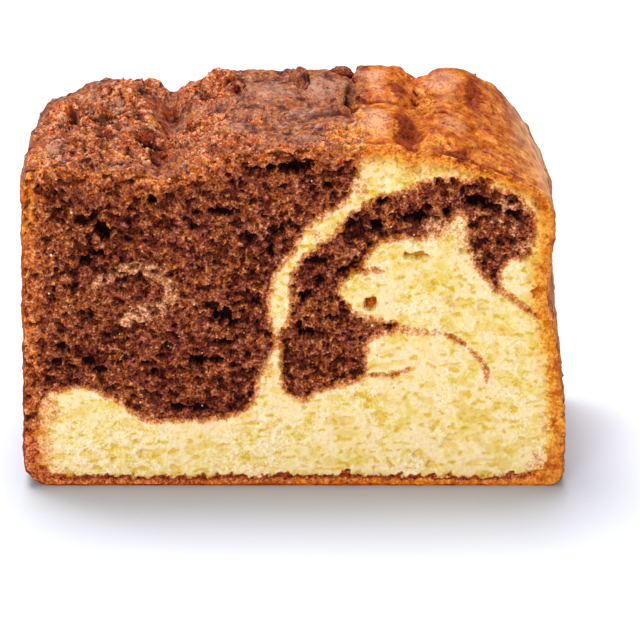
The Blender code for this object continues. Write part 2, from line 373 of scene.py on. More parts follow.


# %% [markdown]
# ## Pores
# The knife opened bubbles in the crumb. The large ones are listed one by one, because the eye picks
# them out; the small ones come from noise. A pore is real relief, with steep ragged walls, and its depth
# is also kept as a value, so that the material can paint shade into it.

# %% Large pores on the front cut: x, z, half length, half height, depth, in mm
HOLES = (
    (-26.8, 58.6, 0.9, 1.1, 2.2), (-13.6, 56.0, 2.9, 0.9, 2.4), (-18.8, 53.2, 1.0, 0.6, 1.4),
    (-40.3, 54.3, 1.1, 1.0, 1.6), (-37.8, 55.2, 0.8, 1.0, 1.6), (-36.2, 52.2, 1.4, 1.7, 2.8),
    (-31.3, 51.0, 1.1, 0.5, 1.0), (-39.5, 46.3, 1.3, 0.9, 2.4), (-37.0, 47.7, 1.4, 0.7, 1.8),
    (-45.2, 59.3, 0.4, 0.9, 1.0), (-43.0, 55.6, 0.6, 0.9, 1.0), (-36.0, 44.1, 2.2, 0.7, 1.1),
    (-41.8, 43.8, 1.0, 0.8, 1.2), (-42.0, 41.0, 1.2, 1.1, 0.9), (-29.2, 43.4, 0.5, 0.8, 1.2),
    (-40.0, 35.3, 1.9, 1.1, 1.0), (-33.7, 37.8, 1.2, 0.7, 1.0), (-15.4, 37.2, 1.3, 0.7, 1.2),
    (-13.5, 35.3, 2.2, 1.5, 1.9), (-11.7, 33.3, 1.3, 0.8, 1.3), (-13.0, 29.6, 2.1, 0.6, 2.0),
    (-7.9, 38.2, 2.0, 1.1, 1.1), (-7.8, 43.2, 1.5, 1.1, 0.8), (-11.3, 46.3, 0.8, 0.6, 1.0),
    (-3.4, 52.4, 1.9, 0.9, 1.4), (-1.6, 53.5, 0.7, 0.5, 1.2), (-8.0, 50.6, 0.8, 0.9, 1.8),
    (-4.4, 48.2, 0.9, 1.3, 2.0), (-44.2, 28.6, 1.3, 0.9, 1.0), (-45.7, 25.6, 1.3, 0.6, 1.7),
    (-39.6, 25.7, 1.2, 0.8, 1.8), (-37.3, 23.9, 1.6, 0.8, 2.0), (-28.2, 25.4, 2.0, 0.7, 2.2),
    (-26.7, 23.8, 0.7, 0.7, 1.6), (-24.8, 27.0, 1.2, 0.7, 1.1), (-18.5, 26.1, 2.0, 0.9, 2.6),
    (-14.6, 25.9, 1.7, 0.6, 1.9), (-11.3, 25.2, 0.9, 0.5, 1.3), (-23.6, 21.8, 0.6, 0.5, 1.2),
    (-18.3, 21.3, 0.6, 0.5, 1.1), (-22.3, 16.4, 1.5, 0.7, 1.6), (-18.3, 16.2, 1.8, 0.7, 1.6),
    (0.2, 64.9, 3.4, 1.15, 3.4), (-4.2, 64.9, 0.9, 0.6, 2.4), (-7.4, 64.6, 1.6, 0.35, 1.8),
    (1.5, 68.2, 1.4, 0.35, 1.6), (-2.4, 67.7, 2.4, 0.25, 1.0), (6.4, 61.4, 1.3, 0.7, 1.8),
    (3.2, 62.1, 0.7, 0.4, 1.0), (-12.5, 63.5, 0.5, 0.4, 1.4), (-1.8, 61.2, 0.9, 0.5, 1.3),
    (16.7, 58.2, 2.0, 0.8, 1.9), (11.4, 54.0, 1.5, 0.7, 1.6), (15.7, 53.3, 1.4, 1.2, 2.6),
    (11.4, 51.3, 2.0, 1.1, 1.2), (23.3, 55.0, 3.1, 0.9, 2.8), (29.2, 56.3, 0.7, 1.2, 1.8),
    (25.6, 57.2, 0.7, 0.8, 1.3), (27.6, 62.4, 1.1, 0.7, 1.8), (30.4, 62.2, 0.8, 0.7, 1.5),
    (36.5, 62.2, 1.6, 0.6, 1.8), (35.0, 58.2, 2.0, 1.0, 2.8), (37.6, 57.2, 1.5, 0.8, 1.7),
    (42.0, 55.8, 1.3, 0.7, 1.7), (45.9, 57.4, 0.4, 0.7, 1.2), (4.8, 46.3, 2.4, 0.8, 1.7),
    (11.0, 44.5, 2.5, 0.9, 1.7), (12.2, 45.6, 1.8, 0.5, 1.4), (5.2, 42.4, 1.4, 0.8, 1.2),
    (2.4, 39.3, 1.2, 1.2, 1.7), (14.8, 37.9, 1.2, 1.2, 2.0), (9.8, 37.2, 1.4, 0.6, 1.1),
    (7.5, 34.8, 1.4, 0.5, 1.6), (2.6, 31.7, 1.8, 0.8, 2.2), (1.0, 33.2, 0.7, 1.1, 1.5),
    (23.4, 47.3, 3.0, 0.6, 1.7), (32.2, 48.2, 0.9, 0.7, 1.1), (27.0, 42.0, 0.9, 0.4, 0.8),
    (22.8, 50.4, 1.0, 0.4, 0.7), (31.8, 37.8, 2.6, 0.9, 0.6), (36.4, 36.8, 1.3, 0.6, 0.7),
    (10.0, 13.6, 1.4, 0.8, 0.6), (30.7, 10.2, 1.3, 0.8, 0.6), (24.2, 6.7, 1.0, 0.7, 0.8),
    (26.8, 4.4, 1.2, 0.6, 1.0), (-28.4, 6.8, 1.2, 0.7, 0.6),
)
BACK_HOLES = 90


def scattered_holes(count, seed):
    """Pores of the same kinds as the placed ones, for the back cut."""
    draw = random.Random(seed)
    holes = []
    for _ in range(count):
        length = draw.uniform(0.6, 2.2)
        height = draw.uniform(0.4, 1.1)
        holes.append((draw.uniform(-46, 46), draw.uniform(14, 62), length, height, draw.uniform(0.8, 2.4)))
    return holes


# %% Relief of a cut: how deep each point lies behind the knife's plane
EDGE_RADIUS = 0.8       # mm over which the cut rolls into the skin


def open_holes(points, holes):
    """Depth of the large pores. Noise pulls their outlines ragged."""
    x, y, z = points.T
    grip_x = 0.5 * uneven(points, 1.1, 3, shift=5)
    grip_z = 0.4 * uneven(points, 1.1, 3, shift=13)
    torn = 0.55 * uneven(points, 0.8, 2, shift=19)
    depth = np.zeros(len(x))
    for cx, cz, rx, rz, deep in holes:
        far = np.sqrt(((x + grip_x - cx) / rx) ** 2 + ((z + grip_z - cz) / rz) ** 2) + torn
        depth = np.maximum(depth, deep * (1 - ease(0.82, 1.08, far)))
    return depth


def roll_over(inset, radius):
    """How far a rounded edge has dropped, at an inset from the corner."""
    s = np.clip(inset / radius, 0.0, 1.0)
    return radius * (1 - np.sqrt(1 - (1 - s) ** 2))


def cut_relief(points, cocoa, holes, inset):
    """Depth in mm behind the cut, and how hollow the spot is, 0 to 1, which the material turns into painted shade."""
    large = open_holes(points, holes)
    dark = ease(-0.4, 0.6, cocoa)
    near_skin = 1 - ease(1.0, 4.0, inset)
    small_field = uneven(points, 1.7, 3, flat=1.35, shift=31) + 0.25 * uneven(points, 7, 1, shift=35)
    tiny_field = uneven(points, 0.85, 2, flat=1.2, shift=47)
    small = ease(0.24, 0.29, small_field + 0.03 * dark - 0.10 * near_skin) * mix(0.16, 0.85, dark)
    tiny = ease(0.20, 0.34, tiny_field) * mix(0.10, 0.34, dark)
    waves = 0.20 * uneven(points, 5.0, 3, shift=77)
    grain = uneven(points, 0.7, 2, shift=60) * mix(0.07, 0.17, dark)
    lumpy = near_skin * (0.30 * uneven(points, 1.8, 2, shift=83) + 0.34 * uneven(points, 0.8, 2, shift=87))
    bubbles = ease(0.25, 0.33, uneven(points, 3.4, 1, flat=1.8, shift=71)) * (1 - dark)
    gathered = 0.10 * uneven(points, 9, 1, shift=79)
    dents = ease(0.39, 0.44, uneven(points, 1.5, 1, flat=1.9, shift=75) + gathered) * (1 - dark)
    depth = np.maximum.reduce((large, small, 0.16 * bubbles, 0.26 * dents)) + tiny + waves + grain + lumpy
    radius = EDGE_RADIUS * (1 + 0.5 * uneven(points, 2.4, 2, shift=91))
    hollow = np.clip(large / 1.5, 0, 1) + mix(0.15, 0.62, dark) * small / 0.8 + 0.35 * dark * tiny / 0.34
    hollow = np.maximum.reduce((hollow, 0.42 * bubbles, 0.75 * dents))
    return np.maximum(depth, -0.25) + roll_over(inset, radius), np.clip(hollow, 0, 1)


# %% [markdown]
# ## Bending a piece and keeping its values
# A piece is modelled in the straight block. Its points are bent to the loaf, the relief is added, and
# the marbling, browning and pore values are stored on the mesh for the materials to read.

# %% Store values on a mesh
def store(mesh, name, values):
    mesh.attributes.new(name, "FLOAT", "POINT").data.foreach_set("value", np.asarray(values, np.float32))


def block_points(bm):
    return np.array([vert.co for vert in bm.verts])


def finish_piece(bm, name):
    """Make the bmesh an object of the scene."""
    mesh = bpy.data.meshes.new(name)
    bm.to_mesh(mesh)
    bm.free()
    mesh.shade_smooth()
    piece = bpy.data.objects.new(name, mesh)
    bpy.context.scene.collection.objects.link(piece)
    return piece


def set_points(mesh, points):
    mesh.vertices.foreach_set("co", (points * MM).astype(np.float32).ravel())
    mesh.update()


def triangles(piece):
    return sum(len(face.vertices) - 2 for face in piece.data.polygons)


# %% [markdown]
# ## The crumb
# The crumb is a block that stops just under the crust. Each cut is a fine grid, because its pores are
# real, and one mesh with two such grids would be heavy. So the crumb is made in two halves that meet
# inside the cake, where nobody sees them. `create_grid` makes the cut, its rim is extruded back in
# three steps, and `holes_fill` closes the inner end.

# %% One half of the crumb as a straight block
CUT_INSET = 0.25        # mm from the skin to the edge of the cut's grid
CRUMB_TUCK = 2.3        # mm from the skin behind the cuts, well under the crust
HEM_DEPTH = 0.9         # mm between the steps by which the rim draws in
HEM_INSET = 0.7
SHRINK_REACH = 8.0      # mm from the skin over which a drawn-in rim squeezes its points together
HALVES_GAP = 0.1        # mm between the two halves


def shrink(verts, inset):
    """Draw points near the block's skin in by a width in mm, and leave the middle where it is."""
    for vert in verts:
        across, up = vert.co.x, vert.co.z - BLOCK.z / 2
        vert.co.x -= math.copysign(inset * ease(BLOCK.x / 2 - SHRINK_REACH, BLOCK.x / 2, abs(across)), across)
        vert.co.z -= math.copysign(inset * ease(BLOCK.z / 2 - SHRINK_REACH, BLOCK.z / 2, abs(up)), up)


def open_rim(bm):
    return [edge for edge in bm.edges if edge.is_boundary]


def grow_rim(bm, back, inset):
    """Extrude the open rim back along the loaf and in from the skin, and return its new points."""
    grown = bmesh.ops.extrude_edge_only(bm, edges=open_rim(bm))["geom"]
    hem = [part for part in grown if isinstance(part, bmesh.types.BMVert)]
    bmesh.ops.translate(bm, verts=hem, vec=(0, back, 0))
    shrink(hem, inset)
    return hem


def crumb_half(cell, at_back):
    bm = bmesh.new()
    stand = Matrix.Translation((0, -BLOCK.y / 2, BLOCK.z / 2)) @ Matrix.Rotation(math.pi / 2, 4, "X")
    stretch = Matrix.Diagonal((BLOCK.x / 2, BLOCK.z / 2, 1, 1))
    bmesh.ops.create_grid(bm, x_segments=round(BLOCK.x / cell), y_segments=round(BLOCK.z / cell),
                          size=1, matrix=stand @ stretch)
    shrink(bm.verts, CUT_INSET)
    for inset in (HEM_INSET, CRUMB_TUCK - CUT_INSET - HEM_INSET):
        grow_rim(bm, HEM_DEPTH, inset)
    grow_rim(bm, BLOCK.y / 2 - 2 * HEM_DEPTH - HALVES_GAP / 2, 0)
    bmesh.ops.holes_fill(bm, edges=open_rim(bm), sides=0)
    if at_back:
        bmesh.ops.scale(bm, verts=bm.verts, vec=(1, -1, 1))
    bmesh.ops.recalc_face_normals(bm, faces=bm.faces)
    return bm


# %% Bend a half and cut its pores
FRONT_CELL = 0.285      # mm between the points of the front cut
BACK_CELL = 0.40


def skin_distance(block):
    """Distance in mm from a block point to the nearest of the four skins."""
    return np.minimum(np.minimum(BLOCK.x / 2 - np.abs(block[:, 0]), block[:, 2]), BLOCK.z - block[:, 2])


def batter_values(block, points):
    """The marbling and the browning, which both pieces carry."""
    cocoa, half_mixed = marbling(points)
    gold, rind, light = browning(block, points)
    return {"cocoa": cocoa, "half_mixed": half_mixed, "gold": gold, "rind": rind, "light": light}


def make_crumb(name, cell, at_back, holes):
    bm = crumb_half(cell, at_back)
    block = block_points(bm)
    piece = finish_piece(bm, name)
    points = bend_to_loaf(block)
    values = batter_values(block, points)
    on_cut = np.abs(block[:, 1]) > BLOCK.y / 2 - 0.01
    depth, hollow = np.zeros(len(block)), np.zeros(len(block))
    depth[on_cut], hollow[on_cut] = cut_relief(points[on_cut], values["cocoa"][on_cut], holes,
                                               skin_distance(block)[on_cut])
    points[:, 1] += -depth if at_back else depth
    set_points(piece.data, points)
    for label, value in {**values, "hollow": hollow}.items():
        store(piece.data, label, value)
    print(f"{name}: {triangles(piece)} triangles, {np.mean(hollow[on_cut] > 0.3):.2f} of the cut is hollow")
    return piece


crumb_front = make_crumb("crumb_front", FRONT_CELL, False, HOLES)
crumb_back = make_crumb("crumb_back", BACK_CELL, True, scattered_holes(BACK_HOLES, 5))

# %% [markdown]
# ## The crust
# The crust is a sleeve. A rectangle's edges are subdivided, and `spin` with no angle and a step sweeps
# them along the loaf. At each end the rim is drawn in behind the edge of the crumb, and the two inner
# edges are bridged, so that the sleeve is closed.

# %% The crust as a straight sleeve
TOP_CELL = 0.31         # mm between the points of the top, across the loaf
WALL_CELL = 0.70
BASE_CELL = 3.0         # the base is flat and out of sight
ROW_CELL = 0.31         # mm between the rows, along the loaf


def sleeve_ring(bm):
    """The front outline of the block, cut into cells, as one loop of edges."""
    stand = Matrix.Translation((0, -BLOCK.y / 2, BLOCK.z / 2)) @ Matrix.Rotation(math.pi / 2, 4, "X")
    stretch = Matrix.Diagonal((BLOCK.x / 2, BLOCK.z / 2, 1, 1))
    bmesh.ops.create_grid(bm, x_segments=1, y_segments=1, size=1, matrix=stand @ stretch)
    bmesh.ops.delete(bm, geom=bm.faces[:], context="FACES_ONLY")
    for edge in bm.edges[:]:
        heights = [vert.co.z for vert in edge.verts]
        cell = WALL_CELL if max(heights) - min(heights) > 1 else BASE_CELL if max(heights) < 1 else TOP_CELL
        bmesh.ops.subdivide_edges(bm, edges=[edge], cuts=round(edge.calc_length() / cell) - 1)


def crust_sleeve():
    bm = bmesh.new()
    sleeve_ring(bm)
    rows = round(BLOCK.y / ROW_CELL)
    bmesh.ops.spin(bm, geom=bm.verts[:] + bm.edges[:], cent=(0, 0, 0), axis=(0, 0, 1), angle=0,
                   dvec=(0, BLOCK.y / rows, 0), steps=rows, use_duplicate=False)
    for inset in (0.5, 2.2):
        hem = grow_rim(bm, 0, inset)
        for vert in hem:
            vert.co.y -= math.copysign(0.6, vert.co.y)
    bmesh.ops.bridge_loops(bm, edges=open_rim(bm))
    bmesh.ops.recalc_face_normals(bm, faces=bm.faces)
    return bm


# %% [markdown]
# The top is not one surface. The cocoa crust is granular on its left mound and on one chunk by the
# first crack, and is a smooth skin with pinholes in the middle, where a fold of batter ran over itself.
# The vanilla crust is glossy pillows with fine wrinkles. Patches say how coarse each place is, and
# strokes draw the creases.

# %% Places on the top: x, y, half length, half width, strength, in mm
COARSE = (
    (-39, 4, 14, 17, 1.0), (-42, -17, 12, 12, 0.9), (-29, -12, 7, 14, 1.0), (-16, 12, 7.5, 9, 1.0),
    (-19, -6, 9, 10, 0.85), (-14, -20, 10, 7, 0.8), (-7, -9, 2.6, 5, 0.6), (9, -18, 6, 8, 0.6),
    (24.6, 6, 2.6, 20, 0.9), (29, -12, 5, 8, 0.6), (28, -22, 8, 4, 0.9), (12.4, -4, 2.0, 9, 0.6),
    (0, -24, 14, 2.0, 0.7), (40, -21, 10, 5, 0.6), (12.6, 6, 1.8, 3.5, 0.5), (-30, 20, 8, 6, 0.8),
)
PITS = (
    (-43.6, 0.5, 1.2, 3.0, 1.5), (-40.5, -0.5, 1.8, 1.2, 1.0), (-37.3, -1.8, 2.2, 1.4, 1.2),
    (-45.6, -9, 1.3, 1.8, 1.5), (-37.3, -7.5, 1.3, 1.6, 1.4), (-41.5, -14, 1.3, 1.5, 0.9),
    (-27.4, -11, 2.6, 2.4, 1.7), (-26.2, -16, 0.9, 2.6, 1.5), (-34, -21.5, 1.9, 1.6, 1.1),
    (-45, -24.4, 1.8, 0.9, 1.0), (-30.3, 15, 1.3, 2.2, 1.2), (-24.2, 9.5, 0.9, 2.4, 1.3),
    (-28.6, -4, 1.8, 1.3, 0.8), (-15.2, 17, 2.4, 1.0, 1.3), (-12.4, 13, 1.6, 2.0, 1.2),
    (-10.8, 8.5, 0.7, 3.4, 1.3), (-14, -5, 0.9, 1.3, 0.8), (-17.5, 8, 1.1, 1.4, 0.9),
    (-7.4, -24.6, 1.0, 0.8, 0.8), (11.0, 3, 0.7, 3.4, 1.2), (23.9, 8, 0.6, 1.8, 1.2), (28, -3.6, 1.5, 0.6, 0.9),
    (22.8, -23.6, 1.2, 1.6, 0.9),
)
CREASES = (
    ((3.0, -2.2, 0.3), (5, -0.8, 0.5), (8, -0.4, 0.5), (10.4, 1.2, 0.6), (11.0, 5, 0.6), (10.6, 9, 0.5),
     (11.4, 14, 0.4)),
    ((1.6, -9.0, 0.4), (4.0, -7.2, 0.8), (7.0, -6.6, 0.8), (10.6, -7.0, 0.5)),
    ((12.8, 14.5, 0.3), (16, 14.8, 0.4), (20, 14.0, 0.3)),
    ((13, 2.0, 0.3), (16.5, 1.4, 0.4), (20.5, 0.4, 0.4), (23, -2, 0.3)),
    ((26.5, 9.5, 0.3), (30.5, 8.6, 0.4), (35, 9.6, 0.3)),
    ((26.6, -3.6, 0.5), (29.2, -3.4, 0.4), (33, -5, 0.3)),
    ((-30.5, 4.4, 0.4), (-34, 1.2, 0.6), (-39, -0.4, 0.5)),
    ((-35, -12.5, 0.4), (-40, -11.2, 0.6), (-46, -12.4, 0.4)),
)
RIDGES = (
    ((2.6, -6.2, 0.4), (5.0, -4.6, 0.9), (8.0, -4.2, 0.9), (10.8, -5.2, 0.4)),
    ((-9.4, 12, 0.4), (-8.4, 8, 0.8), (-8.8, 3, 0.6)),
    ((-34, -15.2, 0.5), (-40, -14.4, 0.9), (-45, -15.6, 0.5)),
    ((-24, -20, 0.5), (-19, -22.4, 0.9), (-13, -22.6, 0.5)),
)
RAISED = (
    (-51, -8, 2.2, 22, 0.6), (-33, 12, 4.5, 13, 0.9), (-20.5, 14, 4.0, 13, 0.9), (12.7, 18, 1.7, 10, 1.0),
    (24.4, 19, 2.6, 9, 1.7), (31, 18, 6.0, 9, 0.7), (-6, 20, 8, 6, 0.4),
)
LOWERED = ((-41, 10, 4.0, 14, 0.9), (-15, -4, 3.0, 6, 0.4))
# Dark red-brown patches: partly toasted crust, partly painted shade on the pillows' right flanks and in the first
# crack
TOAST_AND_SHADE = (
    (-25.6, -14, 2.8, 9, 0.75), (-24.6, 6, 2.4, 12, 0.6),
    (22.0, -14, 3.2, 9.0, 1.3), (20.6, -20, 2.6, 4.5, 1.0), (20.2, 8.5, 2.6, 6, 0.9), (35.4, 11, 3.0, 10, 0.9),
    (28.2, -3.6, 1.7, 0.9, 0.9), (37, 0, 3, 7, 0.35), (23.8, 8.6, 0.8, 2.2, 0.9), (9.5, 23.5, 3.4, 3, 0.9),
    (13.4, 23.5, 1.4, 2, 0.4), (32, -23.9, 4.4, 1.4, 1.2), (39, -23.9, 3.0, 1.2, 1.1),
    (-43.0, 3, 1.6, 2.4, 0.8), (-44, -8, 2.4, 1.6, 0.7), (-29, -9, 3.0, 2.4, 0.8), (-24.6, 12, 1.4, 4, 0.8),
    (-12.0, 10, 1.6, 4, 0.8), (-30, -20, 3.0, 1.4, 0.6),
)
GOLDEN = (
    (26.2, 6, 2.2, 14, 0.8), (24.5, 22, 1.6, 4, 0.7), (21, 21, 1.8, 4, 0.6), (27, -20, 4.5, 5, 0.8),
    (10, -17, 6, 7, 0.75), (12.8, -8, 1.5, 8, 0.8), (12, 5.5, 1.7, 3.5, 0.6), (16, -24.6, 11, 1.4, 1.1),
    (40, -20, 7, 4, 0.5), (-32, 10.5, 2.6, 2.8, 0.9), (-27.5, 0, 2.4, 2.8, 0.7), (-30.3, -8, 0.9, 0.9, 1.0),
    (-33, -17, 3.6, 3.2, 0.6), (-17.5, -2.5, 2.6, 2.2, 0.6), (-24, -22, 1.6, 2, 0.5), (-13.5, -11, 1.3, 3, 0.6),
    (-48.5, -20, 2.4, 6, 0.7), (-47.2, -6, 1.5, 2.2, 0.7), (-38, -24.8, 13, 1.2, 0.5),
)
# Painted highlights: pale zones where the lamps would gleam, on the pillows and on the smooth cocoa skin
PAINTED_HIGHLIGHTS = (
    (15.8, 18.5, 2.8, 3.4, 0.8), (16.2, 8.5, 2.0, 4.4, 0.7), (15.6, -12.5, 3.4, 8, 1.0), (29.2, 15.5, 4.0, 5.8, 1.2),
    (30.5, -9, 3.6, 5, 0.5), (28.5, 1.5, 2.2, 2.4, 0.35), (-5, 8, 5.5, 9, 0.6), (6, 10, 4.2, 6.5, 0.7),
    (2.5, -4, 3.2, 4, 0.8), (-11, -12.5, 2.6, 3.2, 0.7), (2.5, -19.5, 3.2, 2.6, 0.7), (-34.3, 4, 1.7, 2.8, 0.9),
    (-31.5, -4, 1.7, 2.0, 0.9), (-46, -17, 3.2, 4, 1.0), (-39, 8, 3.2, 4, 0.5), (-40.5, 15, 3, 3, 0.6),
    (-22, 3, 2.4, 3, 0.5),
)


def crust_relief(points, normals, cocoa, from_cut):
    """How far in mm the crust's skin stands out, and the values that colour it."""
    x, y, z = points.T
    on_top = ease(0.15, 0.5, normals[:, 2])
    coarse = np.clip(spread_of(COARSE, x, y) + 0.25 * uneven(points, 6, 2, shift=2), 0, 1)
    coarse = np.maximum(coarse, 0.35 * (1 - ease(0.6, 2.2, from_cut))) * on_top
    drag_x = 0.7 * uneven(points, 1.6, 3, shift=15)
    drag_y = 0.7 * uneven(points, 1.6, 3, shift=25)
    pit = np.zeros(len(x))
    for cx, cy, rx, ry, deep in PITS:
        far = np.sqrt(((x + 1.6 * drag_x - cx) / rx) ** 2 + ((y + 1.6 * drag_y - cy) / ry) ** 2)
        pit = np.maximum(pit, 0.9 * deep * (1 - ease(0.2, 1.1, far)))
    crease = np.zeros(len(x))
    for stroke in CREASES:
        crease = np.maximum(crease, ease(-0.7, 0.4, inside_stroke(x + 0.3 * drag_x, y + 0.3 * drag_y, stroke)))
    ridge = np.zeros(len(x))
    for stroke in RIDGES:
        ridge = np.maximum(ridge, ease(-0.8, 0.6, inside_stroke(x + drag_x, y + drag_y, stroke)))
    lumps = np.abs(uneven(points, 4.6, 3, shift=43))
    grains = np.abs(uneven(points, 1.3, 2, shift=33))
    skin = uneven(points, 0.9, 2, shift=53)
    vanilla = ease(0.5, -0.5, cocoa)
    out = on_top * (coarse * mix(1.0, 0.45, vanilla) * (3.7 * (lumps - 0.24) + 0.55 * (grains - 0.24)) + mix(mix(0.09, 0.16, coarse), 0.06, vanilla) * skin
                    + mix(0.35, 0.2, vanilla) * uneven(points, 5, 2, shift=63))
    out += (1 - on_top) * (0.34 * uneven(points, 3.2, 3, shift=73) + 0.25 * skin)
    dimples = ease(0.28, 0.40, uneven(points, 2.6, 2, shift=93)) * (1 - on_top)
    out -= 0.35 * dimples
    out += on_top * (0.8 * ridge - pit - mix(0.8, 0.35, vanilla) * crease)
    out += spread_of(RAISED, x, y) * ease(54, 60, z) - spread_of(LOWERED, x, y) * on_top
    # Pits, creases, crevices and the walls' dimples are darkened through deep: painted shade.
    crevice = coarse * np.maximum(1.0 * (1 - ease(0.0, 0.14, lumps)), 0.3 * (1 - ease(0.0, 0.10, grains)))
    deep = np.clip(1.0 * pit + mix(0.8, 0.4, vanilla) * crease + crevice * mix(1.0, 0.6, vanilla), 0, 1)
    marks = {"coarse": coarse, "deep": deep * on_top + 0.35 * dimples, "on_top": on_top}
    for name, patches in {"toasted": TOAST_AND_SHADE, "golden": GOLDEN, "bloom": PAINTED_HIGHLIGHTS}.items():
        marks[name] = spread_of(patches, x + 1.8 * drag_x, y + 1.8 * drag_y) * on_top
    return out, marks


# %% Bend the crust and raise its skin
def vertex_normals(mesh):
    normals = np.zeros(len(mesh.vertices) * 3, np.float32)
    mesh.vertex_normals.foreach_get("vector", normals)
    return normals.reshape(-1, 3).astype(float)


def make_crust():
    bm = crust_sleeve()
    block = block_points(bm)
    crust = finish_piece(bm, "crust")
    points = bend_to_loaf(block)
    set_points(crust.data, points)
    normals = vertex_normals(crust.data)
    on_skin = skin_distance(block) < 0.01
    from_cut = BLOCK.y / 2 - np.abs(block[:, 1])
    normals[from_cut < 0.01] *= (1, 0, 1)
    normals /= np.maximum(np.linalg.norm(normals, axis=1, keepdims=True), 1e-6)
    values = batter_values(block, points)
    out, crust_values = crust_relief(points, normals, values["cocoa"], from_cut)
    radius = EDGE_RADIUS * (1 + 0.5 * uneven(points, 2.4, 2, shift=91)) * mix(0.5, 1.0, ease(0.0, 2.0, points[:, 2]))
    out = np.where(on_skin, out * ease(0.2, 1.5, points[:, 2]), 0.0)
    out = np.maximum(out, -0.8 * np.maximum(from_cut - 0.3, 0.0))
    stand_out = out - roll_over(from_cut, radius)
    points += normals * stand_out[:, None]
    points[:, 1] *= 1 - 0.25 * (from_cut < 0.01) / (BLOCK.y / 2)
    points[:, 2] = np.maximum(points[:, 2], 0.0)
    set_points(crust.data, points)
    for name, value in {**values, **crust_values}.items():
        store(crust.data, name, value)
    return crust


crust = make_crust()
print(f"crust: {triangles(crust)} triangles")

# %% [markdown]
# ## Small things on the cake
# Four more pieces sit on these two: a leaf of crust that stands up in the middle, a baked knob at the
# back, the rough grains of the cocoa crust, and crumbs left on the cut by the knife. They are small
# spheres, squashed and made uneven. Each takes its stored values from the nearest point of the piece it
# sits on, so the same materials fit.

# %% Copying values, and one uneven lump
def read_points(mesh):
    points = np.zeros(len(mesh.vertices) * 3, np.float32)
    mesh.vertices.foreach_get("co", points)
    return points.reshape(-1, 3).astype(float) / MM


def read_values(mesh, name):
    values = np.zeros(len(mesh.vertices), np.float32)
    mesh.attributes[name].data.foreach_get("value", values)
    return values


def copy_values(source, chosen, target, **changed):
    """Give the target the source's stored values at the chosen points, with some changed."""
    for attribute in source.attributes:
        if attribute.data_type == "FLOAT" and attribute.domain == "POINT":
            values = read_values(source, attribute.name)[chosen]
            store(target, attribute.name, changed.get(attribute.name, 1) * values)


def nearest_point(points, x, y, z):
    return int(np.argmin(np.sum((points - (x, y, z)) ** 2, axis=1)))


def crust_lump(name, radii, centre, lean, uneven_by, pointed=0.0, **changed):
    """A squashed sphere with an uneven skin, pointed at its foot, leaning by angles about x, y and z."""
    bm = bmesh.new()
    bmesh.ops.create_icosphere(bm, subdivisions=5, radius=1)
    bmesh.ops.scale(bm, verts=bm.verts, vec=radii)
    lump = finish_piece(bm, name)
    points = read_points(lump.data) * MM
    ball = points / radii
    points += ball * (uneven_by * uneven(points, 1.1, 3, shift=7))[:, None]
    points[:, 0] *= 1 - pointed * 0.5 * (1 - ball[:, 2])
    turn = Euler([math.radians(angle) for angle in lean]).to_matrix()
    points = points @ np.array(turn).T + centre
    set_points(lump.data, points)
    skin = nearest_point(read_points(crust.data), *centre)
    copy_values(crust.data, np.full(len(points), skin), lump.data, **changed)
    print(f"{name}: {triangles(lump)} triangles")
    return lump


# The flake carries a strong painted highlight on its face.
crust_flake = crust_lump("crust_flake", (2.2, 0.9, 3.4), (1.7, 11.2, 71.2), (-46, 10, 20), 0.3,
                         pointed=0.75, deep=0, coarse=0.5, bloom=1.6)
crust_knob = crust_lump("crust_knob", (2.6, 1.8, 1.3), (9.4, 23.0, 69.5), (0, 14, 20), 0.4,
                        deep=0, toasted=0.7)


# %% Grains and crumbs: many small lumps as one piece
def scatter(name, source, likely, count, smallest, largest, seed, **changed):
    """Many uneven lumps, half sunk at points of the source that are drawn by how likely they are."""
    draw = np.random.default_rng(seed)
    chosen = draw.choice(len(likely), count, replace=False, p=likely / likely.sum())
    places = read_points(source.data)[chosen]
    bm = bmesh.new()
    for place in places.tolist():
        size = smallest + (largest - smallest) * draw.random() ** 2
        radii = size * draw.uniform(0.6, 1.2, 3)
        turn = Euler(draw.uniform(0, 6.28, 3).tolist()).to_matrix().to_4x4()
        bmesh.ops.create_icosphere(bm, subdivisions=1, radius=1,
                                   matrix=Matrix.Translation(place) @ turn @ Matrix.Diagonal((*radii, 1)))
    each = len(bm.verts) // count
    piece = finish_piece(bm, name)
    points = read_points(piece.data) * MM
    points += 0.25 * smallest * draw.uniform(-1, 1, points.shape)
    set_points(piece.data, points)
    copy_values(source.data, np.repeat(chosen, each), piece.data, **changed)
    print(f"{name}: {count} lumps, {triangles(piece)} triangles")
    return piece


rough_top = read_values(crust.data, "coarse") * read_values(crust.data, "on_top")
rough_top *= (read_values(crust.data, "cocoa") > 0) * ease(22, 10, read_points(crust.data)[:, 1])
crust_grains = scatter("crust_grains", crust, rough_top ** 2, 480, 0.25, 0.7, 11, deep=0)
on_front = np.abs(read_points(crumb_front.data)[:, 1] + BLOCK.y / 2) < 0.3
dark_cut = on_front * (read_values(crumb_front.data, "cocoa") > 0.5)
cut_crumbs = scatter("cut_crumbs", crumb_front, dark_cut + 0.0, 420, 0.16, 0.42, 23, hollow=0)
pale_crumbs = scatter("pale_crumbs", crumb_front, dark_cut + 0.0, 34, 0.14, 0.3, 29, hollow=0, cocoa=-1, gold=0)

# %% [markdown]
# ## Node helpers
# A material is a tree of nodes. These helpers add a node with its settings and inputs in one call, so
# that each material below reads as a list of what it is made of.

# %% Helpers for node trees
def linear(red, green, blue):
    """A colour given in the usual 0 to 255 steps, as the linear values that a shader works in."""
    steps = [channel / 255 for channel in (red, green, blue)]
    return tuple(c / 12.92 if c <= 0.04045 else ((c + 0.055) / 1.055) ** 2.4 for c in steps) + (1.0,)


